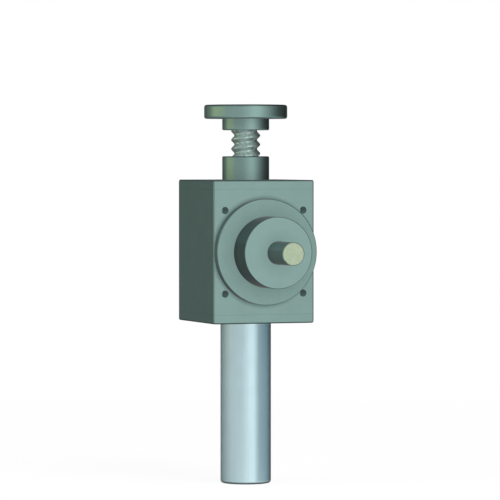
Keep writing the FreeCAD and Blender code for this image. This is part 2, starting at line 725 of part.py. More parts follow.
def build_taper_bearing(prefix, level, turned_over):
    """Tapered roller bearing about Z: cup, cone, rollers and cage. Its raceways widen upward."""
    bore = f"{prefix}_bearing_bore"
    outer = f"{prefix}_bearing_outer"
    width = f"{prefix}_bearing_width"
    middle_radius = f"({bore} + {outer}) / 4"
    roller = f"({outer} - {bore}) / 8"
    tilt = "roller_tilt * 1 deg"
    taper = f"atan({roller} * sin({tilt}) / ({middle_radius}))"
    reach = f"({roller} + rolling_gap)"

    def race(side, height):
        offset = f"{side} * {reach}"
        slope = f"tan({tilt} + {side} * {taper})"
        return f"{middle_radius} + {offset} * cos({tilt}) + ({height} + {offset} * sin({tilt})) * {slope}"

    half = f"{width} / 2"
    cup_top = f"({width} * {CUP_SHARE})"
    cup = [
        (race(1, f"-{half}"), f"-{half}"),
        (f"{outer} / 2", f"-{half}"),
        (f"{outer} / 2", cup_top),
        (race(1, cup_top), cup_top),
    ]
    tilt_angle = math.radians(number("roller_tilt"))
    roller_length = number(width) * ROLLER_SHARE
    roller_radius = number(roller)
    rib_gap = number("rolling_gap") * 2
    rib_low = f"({width} * {ROLLER_SHARE} / 2 * cos({tilt}) + rolling_gap * 2)"
    rib = f"{race(-1, rib_low)} + {roller} * {RIB_RISE}"
    rib_level = f"({rib_low} + {roller} * {RIB_START})"
    cone_low = f"(-{width} * {CONE_SHARE})"
    cone = [
        (f"{bore} / 2", cone_low),
        (race(-1, cone_low), cone_low),
        (race(-1, rib_level), rib_level),
        (rib, rib_level),
        (rib, half),
        (f"{bore} / 2", half),
    ]
    pieces = [turned_body(f"{prefix}_bearing_cup", cup), turned_body(f"{prefix}_bearing_cone", cone)]
    axis = FreeCAD.Vector(math.sin(tilt_angle), 0, math.cos(tilt_angle))
    centre = FreeCAD.Vector(number(middle_radius), 0, 0)
    spread = roller_length / 2 * math.tan(math.radians(number(taper)))

    def make_roller(extra):
        long = roller_length + 2 * extra
        foot = centre - axis * (long / 2)
        return Part.makeCone(roller_radius - spread + extra, roller_radius + spread + extra, long, foot, axis)

    count = number(f"{prefix}_roller_count")
    rollers = Part.makeCompound(copies_round(make_roller(0), count))
    sheet_thickness = roller_radius * CAGE_SHARE
    cage_half = roller_length / 2 + 2 * rib_gap + sheet_thickness
    side = FreeCAD.Vector(math.cos(tilt_angle), 0, -math.sin(tilt_angle))
    corners = [
        centre - axis * cage_half - side * sheet_thickness / 2,
        centre - axis * cage_half + side * sheet_thickness / 2,
        centre + axis * cage_half + side * sheet_thickness / 2,
        centre + axis * cage_half - side * sheet_thickness / 2,
    ]
    wall = Part.Face(Part.makePolygon(corners + corners[:1])).revolve(ORIGIN, UP, 360)
    cage = wall.cut(copies_round(make_roller(rib_gap / 2), count))
    pieces.append(shaped(f"{prefix}_bearing_rollers", rollers))
    pieces.append(shaped(f"{prefix}_bearing_cage", cage))
    for piece in pieces:
        at_level(piece, f"{level} + {half}", turned_over)


def build_nut():
    """Lifting nut: bearing journals at both ends, a flange for the bevel gear and a bored centre."""
    lower = "lower_bearing_bore / 2 - fit_gap"
    upper = "upper_bearing_bore / 2 - fit_gap"
    flange = f"{GEAR_EDGE} - nut_flange_step"
    waist = f"{GEAR_SEAT} - nut_waist_step"
    collar_level = "input_level + nut_collar_level"
    seat_top = f"input_level - {GEAR_SMALL[1]}"
    points = [
        (GUIDE, NUT_BOTTOM),
        (lower, NUT_BOTTOM),
        (lower, NUT_FLANGE_LEVEL),
        (flange, NUT_FLANGE_LEVEL),
        (flange, GEAR_BACK_LEVEL),
        (GEAR_SEAT, GEAR_BACK_LEVEL),
        (GEAR_SEAT, seat_top),
        (waist, seat_top),
        (waist, collar_level),
        ("nut_collar_diameter / 2", collar_level),
        ("nut_collar_diameter / 2", UPPER_BEARING_LEVEL),
        (upper, UPPER_BEARING_LEVEL),
        (upper, NUT_TOP),
        (GUIDE, NUT_TOP),
    ]
    nut = turned_body("lifting_nut", points)
    holes = circle_centres(int(number("gear_screw_count")), GEAR_SCREW_CIRCLE)
    through = "gear_screw_diameter / 2 + screw_gap"
    sunk = "gear_screw_head / 2 + screw_gap"
    sunk_depth = "gear_screw_head_height + screw_gap"
    depth = "nut_flange_thickness"
    pocket(nut, "screw_holes", "XY_Plane", holes, through, depth, NUT_FLANGE_LEVEL, True)
    pocket(nut, "head_recesses", "XY_Plane", holes, sunk, sunk_depth, NUT_FLANGE_LEVEL, True)


def build_bevel_gear():
    """Bevel gear on the nut's flange, teeth upward, and the screws that hold it from below."""
    bore = f"{GEAR_SEAT} + fit_gap"
    points = [
        (bore, GEAR_SMALL[1]),
        GEAR_SMALL,
        GEAR_LARGE,
        (GEAR_EDGE, f"{GEAR_LARGE[1]} + 2 * {MODULE} * tooth_sink"),
        (GEAR_EDGE, "gear_mounting"),
        (bore, "gear_mounting"),
    ]
    blank = turned_body("gear_blank", points)
    count = number("gear_screw_count")
    holes = circle_centres(int(count), GEAR_SCREW_CIRCLE)
    threads = "gear_screw_diameter / 2 + fit_gap"
    pocket(blank, "threads", "XY_Plane", holes, threads, "gear_screw_reach + screw_gap", "gear_mounting")
    gap_on_front = -90.0 + 180.0 / number("gear_teeth")
    at_level(toothed("bevel_gear", blank, "gear_teeth", "pinion_teeth", gap_on_front), "input_level", True)
    head_height = number("gear_screw_head_height")
    long = number("nut_flange_thickness + gear_screw_reach - screw_gap")
    seat = FreeCAD.Vector(number(f"{GEAR_SCREW_CIRCLE} / 2"), 0, number("screw_gap"))
    screw = Part.makeCylinder(number("gear_screw_diameter / 2"), long, seat)
    screw = screw.fuse(Part.makeCylinder(number("gear_screw_head / 2"), head_height, seat))
    screw = screw.cut(hexagon("gear_screw_key", seat).extrude(UP * (head_height / 2)))
    at_level(shaped("gear_screws", Part.makeCompound(copies_round(screw, count))), NUT_FLANGE_LEVEL)


def helix_line(radius, level):
    """One turn of a helix of the screw's pitch."""
    line = Part.makeHelix(number("screw_pitch"), number("screw_pitch"), radius).Edges[0]
    line.translate(UP * level)
    return line


def threaded_rod(low, high):
    """A rod with a coarse right-hand thread, sewn from ruled helical strips and cut to length."""
    pitch = number("screw_pitch")
    crest_radius = number("screw_diameter / 2")
    root_radius = crest_radius - number("thread_depth")
    half_crest = number("thread_crest / 2")
    half_foot = half_crest + number("thread_depth") * math.tan(math.radians(number("thread_flank")))
    turns = int(math.ceil((high - low) / pitch)) + 2
    marks = [
        (root_radius, -half_foot),
        (crest_radius, -half_crest),
        (crest_radius, half_crest),
        (root_radius, half_foot),
        (root_radius, pitch - half_foot),
    ]
    lines = [helix_line(*mark) for mark in marks]
    strips = [Part.makeRuledSurface(near, far) for near, far in zip(lines, lines[1:])]
    faces = []
    for index in range(turns):
        for strip in strips if index < turns - 1 else strips[:-1]:
            copy = strip.copy()
            copy.translate(UP * (pitch * index))
            faces.append(copy)
    bottom = Part.Edge(Part.Circle(UP * (-half_foot - pitch / 2), UP, root_radius))
    top = Part.Edge(Part.Circle(UP * (pitch * turns + half_foot + pitch / 2), UP, root_radius))
    faces.append(Part.makeRuledSurface(bottom, helix_line(root_radius, -half_foot)))
    faces.append(Part.makeRuledSurface(helix_line(root_radius, pitch * (turns - 1) + half_foot), top))
    for level in (0, pitch * turns):
        corners = [FreeCAD.Vector(radius, 0, height + level) for radius, height in marks[:4]]
        faces.append(Part.Face(Part.makePolygon(corners + corners[:1])))
    faces.append(Part.Face(Part.Wire([bottom])))
    faces.append(Part.Face(Part.Wire([top])))
    shell = Part.Compound(faces)
    shell.sewShape(1e-4)
    rod = Part.Solid(shell.Shells[0])
    rod.fix(1e-6, 1e-6, 1e-6)
    rod.translate(UP * (low - number("thread_run_in")))
    length = Part.makeCylinder(2 * crest_radius, high - low, UP * low)
    return rod.common(length).Solids[0]


def build_lift_screw():
    """Lifting screw with a spigot at each end, and its stop ring with the pin that holds it."""
    high = number(HUB_BOTTOM)
    rod = threaded_rod(number(STOP_SHOULDER), high)
    upper_length = number(f"{PLATE_TOP} - screw_spigot_recess") - high
    upper = Part.makeCylinder(number("screw_spigot_diameter / 2"), upper_length, UP * high)
    foot = UP * number(STOP_RING_BOTTOM)
    ring_height = number("stop_ring_height")
    lower = Part.makeCylinder(number("stop_spigot_diameter / 2"), ring_height, foot)
    ring = Part.makeCylinder(number(STOP_RING), ring_height, foot)
    ring = ring.cut(Part.makeCylinder(number("stop_spigot_diameter / 2 + fit_gap"), ring_height, foot))
    reach = number(f"{STOP_RING} - stop_pin_inset")
    side = FreeCAD.Vector(1, 0, 0)
    middle = foot + UP * (ring_height / 2)
    pin = Part.makeCylinder(number("stop_pin_diameter / 2"), 2 * reach, middle - side * reach, side)
    pin_hole_radius = number("stop_pin_diameter / 2 + fit_gap")
    pin_hole = Part.makeCylinder(pin_hole_radius, 4 * reach, middle - side * (2 * reach), side)
    lock_foot = FreeCAD.Vector(0, number("screw_spigot_diameter / 2 - lock_screw_bite"), number(LOCK_LEVEL))
    lock_radius = number("lock_screw_diameter / 2 + fit_gap")
    dimple = Part.makeCylinder(lock_radius, number("hub_diameter"), lock_foot, FreeCAD.Vector(0, 1, 0))
    shaped("lift_screw", rod.fuse([upper, lower]).cut([pin_hole, dimple]))
    shaped("stop_ring", ring.cut(pin_hole))
    shaped("stop_ring_pin", pin)


def build_top_plate():
    """Flanged top plate with its bolt holes, and the lock screw at the back of its hub."""
    bore = "screw_spigot_diameter / 2 + fit_gap"
    points = [
        (bore, HUB_BOTTOM),
        ("hub_diameter / 2", HUB_BOTTOM),
        ("hub_diameter / 2", PLATE_BOTTOM),
        ("plate_diameter / 2", PLATE_BOTTOM),
        ("plate_diameter / 2", PLATE_TOP),
        (bore, PLATE_TOP),
    ]
    body = turned_body("top_plate", points)
    rims = (rim("plate_diameter / 2", PLATE_BOTTOM), rim("plate_diameter / 2", PLATE_TOP))
    dress_edges(body, "rim_rounding", lambda edge: any(test(edge) for test in rims), "plate_rounding")
    dress_edges(body, "hub_edge", rim("hub_diameter / 2", HUB_BOTTOM), "hub_rounding")
    holes = circle_centres(4, "plate_diameter - 2 * plate_hole_inset", 45)
    pocket(body, "bolt_holes", "XY_Plane", holes, "plate_hole_diameter / 2", "plate_thickness", PLATE_TOP)
    lock_radius = "lock_screw_diameter / 2 + fit_gap"
    pocket(body, "lock_hole", "XZ_Plane", [("0", LOCK_LEVEL)], lock_radius, "hub_diameter / 2")
    start = number("screw_spigot_diameter / 2 - lock_screw_bite")
    end = number("hub_diameter / 2 - lock_screw_sink")
    level = number(LOCK_LEVEL)
    back = FreeCAD.Vector(0, 1, 0)
    screw_radius = number("lock_screw_diameter / 2")
    screw = Part.makeCylinder(screw_radius, end - start, FreeCAD.Vector(0, start, level), back)
    key = hexagon("lock_screw_key", FreeCAD.Vector(0, end, level), back)
    shaped("plate_lock_screw", screw.cut(key.extrude(back * -screw_radius)))


def build_grease_nipple():
    """Grease nipple screwed into the back of the housing: thread, hexagon, neck and head."""
    thread = "nipple_thread_diameter / 2 - fit_gap"
    thread_end = f"{CHAMBER} + nipple_end_gap"
    cone_start = f"({FRONT} + nipple_hex_height)"
    neck_start = f"({cone_start} + nipple_cone_height)"
    head_start = f"({neck_start} + nipple_neck_height)"
    tip = f"({head_start} + nipple_head_height)"
    neck = "nipple_neck_diameter / 2"
    head = "nipple_head_diameter / 2"
    points = [
        ("0", thread_end),
        (thread, thread_end),
        (thread, cone_start),
        (neck, neck_start),
        (neck, head_start),
        (head, f"{head_start} + nipple_head_height / 4"),
        (head, f"{head_start} + nipple_head_height / 2"),
        (neck, tip),
        ("nipple_bore / 2", tip),
        ("nipple_bore / 2", neck_start),
        ("0", neck_start),
    ]
    body = turned_body("grease_nipple", points)
    sketch = add_sketch(body, "nipple_hexagon", "XY_Plane", FRONT)
    draw_outline(sketch, circle_centres(6, "2 * nipple_hex / sqrt(3)"))
    doc.recompute()
    flats = body.newObject("PartDesign::Pad", "nipple_flats")
    flats.Profile = sketch
    flats.setExpression("Length", bound("nipple_hex_height"))
    on_input_axis(body, -90)


NODES = (
    "housing",
    "top_cover",
    "neck_guide_bush",
    "screw_wiper",
    "protective_tube",
    "tube_end_cap",
    "grease_nipple",
    "input_bearing_carrier",
    "carrier_retaining_ring",
    "input_shaft_seal",
    "outer_bearing_spacer",
    "inner_bearing_spacer",
    "pinion_shaft",
    "shaft_retaining_ring",
    "rear_bearing_outer_ring",
    "rear_bearing_inner_ring",
    "rear_bearing_balls",
    "rear_bearing_cage",
    "front_bearing_outer_ring",
    "front_bearing_inner_ring",
    "front_bearing_balls",
    "front_bearing_cage",
    "lower_bearing_cup",
    "lower_bearing_cone",
    "lower_bearing_rollers",
    "lower_bearing_cage",
    "upper_bearing_cup",
    "upper_bearing_cone",
    "upper_bearing_rollers",
    "upper_bearing_cage",
    "lifting_nut",
    "bevel_gear",
    "gear_screws",
    "lift_screw",
    "top_plate",
    "plate_lock_screw",
    "stop_ring",
    "stop_ring_pin",
)


def write_parts():
    """Checks every object of the document, then writes one file for each node."""
    doc.recompute()
    for item in doc.Objects:
        if "Invalid" in item.State or "Error" in item.State:
            raise RuntimeError(f"{item.Label} is not in order: {item.State}")
    for label in NODES:
        shape = doc.getObjectsByLabel(label)[0].Shape
        if not shape.Solids or not shape.isValid():
            raise RuntimeError(f"{label} has no valid solid")
        shape.exportStep(f"parts/{label}.step")
        box = shape.BoundBox
        print(f"{label}: {len(shape.Solids)} solids, {shape.Volume:.0f} mm3, "
              f"z {box.ZMin:.1f} to {box.ZMax:.1f}, y {box.YMin:.1f} to {box.YMax:.1f}")


build_housing()
build_top_cover()
build_neck_pieces()
build_tube()
build_carrier()
build_pinion_shaft()
build_ball_bearing("rear_bearing", REAR_BEARING)
build_ball_bearing("front_bearing", FRONT_BEARING)
build_taper_bearing("lower", FLOOR, False)
build_taper_bearing("upper", UPPER_BEARING_LEVEL, True)
build_nut()
build_bevel_gear()
build_lift_screw()
build_top_plate()
build_grease_nipple()
write_parts()
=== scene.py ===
"""Looks of the bevel gear screw jack: materials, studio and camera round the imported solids."""

import json
import math

import bpy
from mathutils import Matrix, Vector


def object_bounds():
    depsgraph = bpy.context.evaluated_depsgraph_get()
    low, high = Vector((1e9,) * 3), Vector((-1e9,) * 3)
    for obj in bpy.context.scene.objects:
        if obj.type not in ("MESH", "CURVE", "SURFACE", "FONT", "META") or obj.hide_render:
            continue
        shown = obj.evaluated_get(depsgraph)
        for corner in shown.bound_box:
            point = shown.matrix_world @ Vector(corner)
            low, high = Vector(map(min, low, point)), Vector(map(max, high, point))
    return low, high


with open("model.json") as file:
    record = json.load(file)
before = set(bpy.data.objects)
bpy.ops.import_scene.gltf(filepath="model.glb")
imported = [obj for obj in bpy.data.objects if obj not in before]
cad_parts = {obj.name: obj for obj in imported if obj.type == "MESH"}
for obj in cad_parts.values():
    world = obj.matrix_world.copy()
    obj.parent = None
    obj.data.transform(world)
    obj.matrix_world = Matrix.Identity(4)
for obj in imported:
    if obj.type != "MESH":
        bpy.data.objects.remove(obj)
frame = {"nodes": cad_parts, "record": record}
cad_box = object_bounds()

MM = 0.001
INPUT_LEVEL = 78.5 * MM
HALF_HEIGHT = INPUT_LEVEL
SHAFT_TIP = 147.6 * MM
WHITE = (1.0, 1.0, 1.0, 1.0)

CAMERA_TURN = math.radians(20.30)
CAMERA_DISTANCE = 3.967
CAMERA_HEIGHT = 0.1865
AIM_RIGHT = math.radians(0.069)
AIM_DOWN = math.radians(1.55)
FOCAL_LENGTH_PX = 3581.5
IMAGE_PX = 500
SENSOR_MM = 36.0

CARD_DISTANCE = 2.4
CARD_HEIGHT = 2.4
CARD_STEP = 3.0
UPPER_EDGE = 0.50
MIDDLE_EDGE = -0.02
LOWER_EDGE = -0.47
FLOOR_RADIUS = 18.0
FLOOR_CORNERS = 96
FLOOR_GLOW = 0.88
FLOOR_FADE = 1.6
FLOOR_COLOUR = (0.95, 0.95, 0.95, 1.0)
FILL_LIGHT = 0.55
LAMP_DISTANCE = 1.8
ROUND_CARD_LIGHT = 0.60
GROUND_RIM_LIGHT = 0.16

COAT = (0.275, 0.420, 0.392)
COAT_ROUGHNESS = 0.30
TURNED_ROUGHNESS = 0.20
PALE_STEEL = (0.47, 0.57, 0.405)
EDGE_TINT = (0.49, 0.50, 0.50, 1.0)
# Painted shade in corners and holes: how far it reaches and how dark it gets.
CORNER_REACH = 18 * MM
CORNER_SHADE = 0.58
HOLE_REACH = 5 * MM
HOLE_SHADE = 0.06
RING_FACE = 69 * MM
# Painted shade on the carrier's ring face and on its boss wall.
RING_FACE_PAINTED_SHADE = 0.87
BOSS_WALL_PAINTED_SHADE = 0.60
# Painted shade on rims, and the band at the housing's top and bottom where it is painted.
RIM_PAINTED_SHADE = 0.30
RIM_HEIGHT = 3 * MM
LINE_INSET = 10 * MM
LINE_WIDTH = 0.6 * MM
LINE_TONE = 0.86
GLOSS_VARIATION = 0.07
TURNING_PITCH = 0.8 * MM
TURNING_DEPTH = 0.010 * MM
TURNING_TONE = 0.04
GRAIN_SIZE = 0.8 * MM
GRAIN_DEPTH = 0.02 * MM
GRAIN_TONE = 0.05
DRAWN_SIZE = 0.6 * MM
DRAWN_STRETCH = 0.01
DRAWN_TONE = 0.03
DRAWN_DEPTH = 0.004 * MM
BARE_TONE = 0.05


def grey(level):
    """A colour of equal parts."""
    return (level, level, level)


def scaled(colour, share):
    """The colour made darker or lighter, with full alpha."""
    return tuple(min(part * share, 1.0) for part in colour) + (1.0,)


def new_material(name):
    """An empty procedural material with its shader and node tree."""
    material = bpy.data.materials.new(name)
    material.use_nodes = True
    tree = material.node_tree
    return material, tree, tree.nodes["Principled BSDF"]


def coordinates(tree, offset=(0, 0, 0)):
    """Places in the part's own frame, in metres, counted from a point."""
    source = tree.nodes.new("ShaderNodeTexCoord")
    mapping = tree.nodes.new("ShaderNodeMapping")
    mapping.inputs["Location"].default_value = tuple(-part for part in offset)
    tree.links.new(source.outputs["Object"], mapping.inputs["Vector"])
    return mapping.outputs["Vector"]


def stretched(tree, place, factors):
    """The same places with each axis scaled, which draws a pattern out along an axis."""
    mapping = tree.nodes.new("ShaderNodeMapping")
    mapping.inputs["Scale"].default_value = factors
    tree.links.new(place, mapping.inputs["Vector"])
    return mapping.outputs["Vector"]


def noise(tree, place, size, detail=3.0):
    """Soft random patches of about the given size in metres."""
    node = tree.nodes.new("ShaderNodeTexNoise")
    node.inputs["Scale"].default_value = 1.0 / size
    node.inputs["Detail"].default_value = detail
    tree.links.new(place, node.inputs["Vector"])
    return node.outputs["Fac"]


def wave(tree, place, kind, axis, pitch):
    """Machining lines at a pitch in metres: RINGS round an axis or BANDS along it."""
    node = tree.nodes.new("ShaderNodeTexWave")
    node.wave_type = kind
    if kind == "RINGS":
        node.rings_direction = axis
    else:
        node.bands_direction = axis
    node.inputs["Scale"].default_value = math.pi / (10.0 * pitch)
    node.inputs["Distortion"].default_value = 0.4
    node.inputs["Detail"].default_value = 1.0
    tree.links.new(place, node.inputs["Vector"])
    return node.outputs["Fac"]


def combined(tree, operation, first, second):
    """One value from two, by a math operation; the second may be a number."""
    node = tree.nodes.new("ShaderNodeMath")
    node.operation = operation
    tree.links.new(first, node.inputs[0])
    if isinstance(second, (int, float)):
        node.inputs[1].default_value = second
    else:
        tree.links.new(second, node.inputs[1])
    return node.outputs["Value"]


def spread(tree, value, low, high):
    """A texture's middle range laid onto a wanted range."""
    node = tree.nodes.new("ShaderNodeMapRange")
    node.inputs["From Min"].default_value = 0.25
    node.inputs["From Max"].default_value = 0.75
    node.inputs["To Min"].default_value = low
    node.inputs["To Max"].default_value = high
    tree.links.new(value, node.inputs["Value"])
    return node.outputs["Result"]


def ranged(tree, value, low, high):
    """A mask's values from 0 to 1 laid onto a wanted range."""
    node = tree.nodes.new("ShaderNodeMapRange")
    node.inputs["To Min"].default_value = low
    node.inputs["To Max"].default_value = high
    tree.links.new(value, node.inputs["Value"])
    return node.outputs["Result"]


def tinted(tree, value, dark, light):
    """A colour between two, chosen by a texture."""
    ramp = tree.nodes.new("ShaderNodeValToRGB")
    ramp.color_ramp.elements[0].position = 0.3
    ramp.color_ramp.elements[0].color = dark
    ramp.color_ramp.elements[1].position = 0.7
    ramp.color_ramp.elements[1].color = light
    tree.links.new(value, ramp.inputs["Fac"])
    return ramp.outputs["Color"]


def mixed(tree, factor, first, second):
    """Two colours mixed by a mask."""
    node = tree.nodes.new("ShaderNodeMix")
    node.data_type = "RGBA"
    tree.links.new(factor, node.inputs["Factor"])
    tree.links.new(first, node.inputs["A"])
    tree.links.new(second, node.inputs["B"])
    return node.outputs["Result"]


def shaded(tree, shader, factor):
    """The shader's colour so far, made darker or lighter by a factor that varies over the surface."""
    scale = tree.nodes.new("ShaderNodeVectorMath")
    scale.operation = "SCALE"
    tree.links.new(shader.inputs["Base Color"].links[0].from_socket, scale.inputs["Vector"])
    tree.links.new(factor, scale.inputs["Scale"])
    tree.links.new(scale.outputs["Vector"], shader.inputs["Base Color"])


def shade_painted_in_corners(tree, shader, reach, shade):
    """Painted shade in corners and holes, within a reach of what stands over them."""
    corner = tree.nodes.new("ShaderNodeAmbientOcclusion")
    corner.samples = 8
    corner.inputs["Distance"].default_value = reach
    shaded(tree, shader, ranged(tree, corner.outputs["AO"], shade, 1.0))


def facing(tree, axis):
    """A mask of a turned piece's faced ends, fading out on its round walls."""
    normal = tree.nodes.new("ShaderNodeNewGeometry")
    split = tree.nodes.new("ShaderNodeSeparateXYZ")
    tree.links.new(normal.outputs["True Normal"], split.inputs["Vector"])
    return combined(tree, "POWER", combined(tree, "ABSOLUTE", split.outputs[axis], 0.0), 2.0)


def rims(tree, side):
    """A mask of the rims where upper, lower or both faces turn into walls, strongest at their middle."""
    normal = tree.nodes.new("ShaderNodeNewGeometry")
    split = tree.nodes.new("ShaderNodeSeparateXYZ")
    tree.links.new(normal.outputs["Normal"], split.inputs["Vector"])
    operation = {"upper": "MAXIMUM", "lower": "MINIMUM", "both": "ABSOLUTE"}[side]
    lean = combined(tree, operation, split.outputs["Z"], 0.0)
    level = combined(tree, "MULTIPLY", lean, lean)
    hump = combined(tree, "SUBTRACT", level, combined(tree, "POWER", level, 2.0))
    return combined(tree, "MULTIPLY", hump, 4.0)


def shade_painted_on_rims(tree, shader, mask):
    """Painted shade on the rims of a mask."""
    shaded(tree, shader, ranged(tree, mask, 1.0, RIM_PAINTED_SHADE))


def toned(tree, shader, texture, share):
    """Fine variation of the shader's colour by a texture, as a share of it."""
    shaded(tree, shader, spread(tree, texture, 1.0 - share, 1.0 + share))


def relief(tree, shader, height, depth):
    """Surface relief from a height texture, its depth in metres."""
    bump = tree.nodes.new("ShaderNodeBump")
    bump.inputs["Distance"].default_value = depth
    tree.links.new(height, bump.inputs["Height"])
    tree.links.new(bump.outputs["Normal"], shader.inputs["Normal"])


def below(tree, place, axis, limit):
    """A mask of what lies below a level on an axis."""
    split = tree.nodes.new("ShaderNodeSeparateXYZ")
    tree.links.new(place, split.inputs["Vector"])
    return combined(tree, "LESS_THAN", split.outputs[axis], limit)


def from_middle(tree):
    """The distance above or below the housing's middle."""
    split = tree.nodes.new("ShaderNodeSeparateXYZ")
    tree.links.new(coordinates(tree, (0, 0, INPUT_LEVEL)), split.inputs["Vector"])
    return combined(tree, "ABSOLUTE", split.outputs["Z"], 0.0)


def end_lines(tree, height):
    """A mask of the two fine lines round the housing, as far from its top as from its bottom."""
    away = combined(tree, "ABSOLUTE", combined(tree, "SUBTRACT", height, HALF_HEIGHT - LINE_INSET), 0.0)
    return combined(tree, "LESS_THAN", away, LINE_WIDTH / 2)


def machined(tree, shader, place, axis, pitch, depth):
    """Turning lines on the flat faces and the round walls of a turned piece."""
    faces = wave(tree, place, "RINGS", axis, pitch)
    walls = wave(tree, place, "BANDS", axis, pitch)
    lines = combined(tree, "MULTIPLY", combined(tree, "ADD", faces, walls), 0.5)
    toned(tree, shader, lines, TURNING_TONE)
    relief(tree, shader, lines, depth)


def metal(name, colour, roughness, patch=12 * MM, contrast=0.05, metallic=1.0):
    """Metal with soft patches of tone and of gloss; the relief is added by the caller."""
    material, tree, shader = new_material(name)
    place = coordinates(tree)
    patches = noise(tree, place, patch)
    dark = scaled(colour, 1.0 - contrast)
    light = scaled(colour, 1.0 + contrast)
    tree.links.new(tinted(tree, patches, dark, light), shader.inputs["Base Color"])
    smears = noise(tree, place, patch / 3, 2.0)
    gloss = spread(tree, smears, roughness * (1.0 - GLOSS_VARIATION), roughness * (1.0 + GLOSS_VARIATION))
    tree.links.new(gloss, shader.inputs["Roughness"])
    shader.inputs["Metallic"].default_value = metallic
    shader.inputs["Specular Tint"].default_value = EDGE_TINT
    return material, tree, shader, place


def housing_paint():
    """Thin metallic grey-green coat with the fine grain of a blasted casting under it."""
    material, tree, shader, place = metal(
        "housing_paint", COAT, roughness=COAT_ROUGHNESS, patch=18 * MM, contrast=0.03,
    )
    # Painted shade in the housing's holes and corners.
    shade_painted_in_corners(tree, shader, HOLE_REACH, HOLE_SHADE)
    height = from_middle(tree)
    shaded(tree, shader, ranged(tree, end_lines(tree, height), 1.0, LINE_TONE))
    # Painted shade on the housing's top and bottom rims.
    at_ends = combined(tree, "GREATER_THAN", height, HALF_HEIGHT - RIM_HEIGHT)
    shade_painted_on_rims(tree, shader, combined(tree, "MULTIPLY", rims(tree, "both"), at_ends))
    grain = noise(tree, place, GRAIN_SIZE, detail=4.0)
    toned(tree, shader, grain, GRAIN_TONE)
    relief(tree, shader, grain, GRAIN_DEPTH)
    return material


def turned_coat(name, axis, offset=(0, 0, 0), share=1.0):
    """The same coat on a turned piece, a little darker or lighter."""
    colour = tuple(part * share for part in COAT)
    material, tree, shader, _ = metal(
        name, colour, roughness=TURNED_ROUGHNESS, patch=15 * MM, contrast=0.03,
    )
    machined(tree, shader, coordinates(tree, offset), axis, TURNING_PITCH, TURNING_DEPTH)
    return material, tree, shader


def cover_steel():
    """Coated top cover, turned about the screw's axis."""
    material, tree, shader = turned_coat("cover_steel", "Z", share=0.89)
    # Painted shade in the cover's corners.
    shade_painted_in_corners(tree, shader, CORNER_REACH, CORNER_SHADE)
    # Painted shade on the cover's upper rims.
    shade_painted_on_rims(tree, shader, rims(tree, "upper"))
    return material


def carrier_steel():
    """Coated bearing carrier, turned about the input axis, with painted shade on its boss wall and on its
    ring face.
    """
    material, tree, shader = turned_coat("carrier_steel", "Y", (0, 0, INPUT_LEVEL))
    # Painted shade: the boss wall much darker, the ring face a little darker.
    ends = facing(tree, "Y")
    ring = ranged(tree, ends, 1.0, RING_FACE_PAINTED_SHADE)
    boss = ranged(tree, ends, BOSS_WALL_PAINTED_SHADE, 1.0)
    shaded(tree, shader, mixed(tree, below(tree, coordinates(tree), "Y", -RING_FACE), ring, boss))
    # Painted shade in the carrier's corners.
    shade_painted_in_corners(tree, shader, CORNER_REACH, CORNER_SHADE)
    return material


def plate_steel():
    """Coated top plate, turned about the screw's axis."""
    material, tree, shader = turned_coat("plate_steel", "Z")
    # Painted shade in the plate's corners.
    shade_painted_in_corners(tree, shader, CORNER_REACH, CORNER_SHADE)
    # Painted shade on the plate's upper rims.
    shade_painted_on_rims(tree, shader, rims(tree, "upper"))
    return material


def tube_aluminium():
    """Drawn tube with faint lines along its length."""
    material, tree, shader, place = metal(
        "tube_aluminium", (0.615, 0.82, 0.87), roughness=0.22, patch=20 * MM, contrast=0.02, metallic=0.92,
    )
    lines = noise(tree, stretched(tree, place, (1, 1, DRAWN_STRETCH)), DRAWN_SIZE, detail=2.0)
    toned(tree, shader, lines, DRAWN_TONE)
    # Painted shade on the tube's lower rim.
    shade_painted_on_rims(tree, shader, rims(tree, "lower"))
    relief(tree, shader, lines, DRAWN_DEPTH)
    return material


def cap_plastic():
    """Moulded black plug."""
    material, tree, shader, place = metal(
        "cap_plastic", grey(0.03), roughness=0.5, patch=6 * MM, contrast=0.15, metallic=0.0,
    )
    relief(tree, shader, noise(tree, place, size=0.5 * MM), depth=0.02 * MM)
    return material


def rubber():
    """Black sealing rubber, dull and faintly grained."""
    material, tree, shader, place = metal(
        "rubber", grey(0.02), roughness=0.6, patch=3 * MM, contrast=0.2, metallic=0.0,
    )
    relief(tree, shader, noise(tree, place, size=0.3 * MM), depth=0.02 * MM)
    return material


def bronze():
    """Turned bearing bronze."""
    material, tree, shader, place = metal(
        "bronze", (0.60, 0.38, 0.16), roughness=0.3, patch=8 * MM, contrast=0.08,
    )
    machined(tree, shader, place, "Z", pitch=0.5 * MM, depth=0.006 * MM)
    return material


def nipple_steel():
    """Zinc-plated fitting with a faint yellow tone."""
    material, tree, shader, place = metal(
        "nipple_steel", (0.58, 0.60, 0.53), roughness=0.30, patch=2 * MM, contrast=0.08,
    )
    relief(tree, shader, noise(tree, place, size=0.4 * MM), depth=0.004 * MM)
    return material


def screw_steel():
    """Rolled lifting thread, polished by the nut in flecks and smeared with grease."""
    material, tree, shader, place = metal(
        "screw_steel", (0.44, 0.60, 0.56), roughness=0.30, patch=3 * MM, contrast=0.28,
    )
    lines = noise(tree, stretched(tree, place, (1, 1, 3)), size=3 * MM)
    relief(tree, shader, lines, depth=0.05 * MM)
    return material


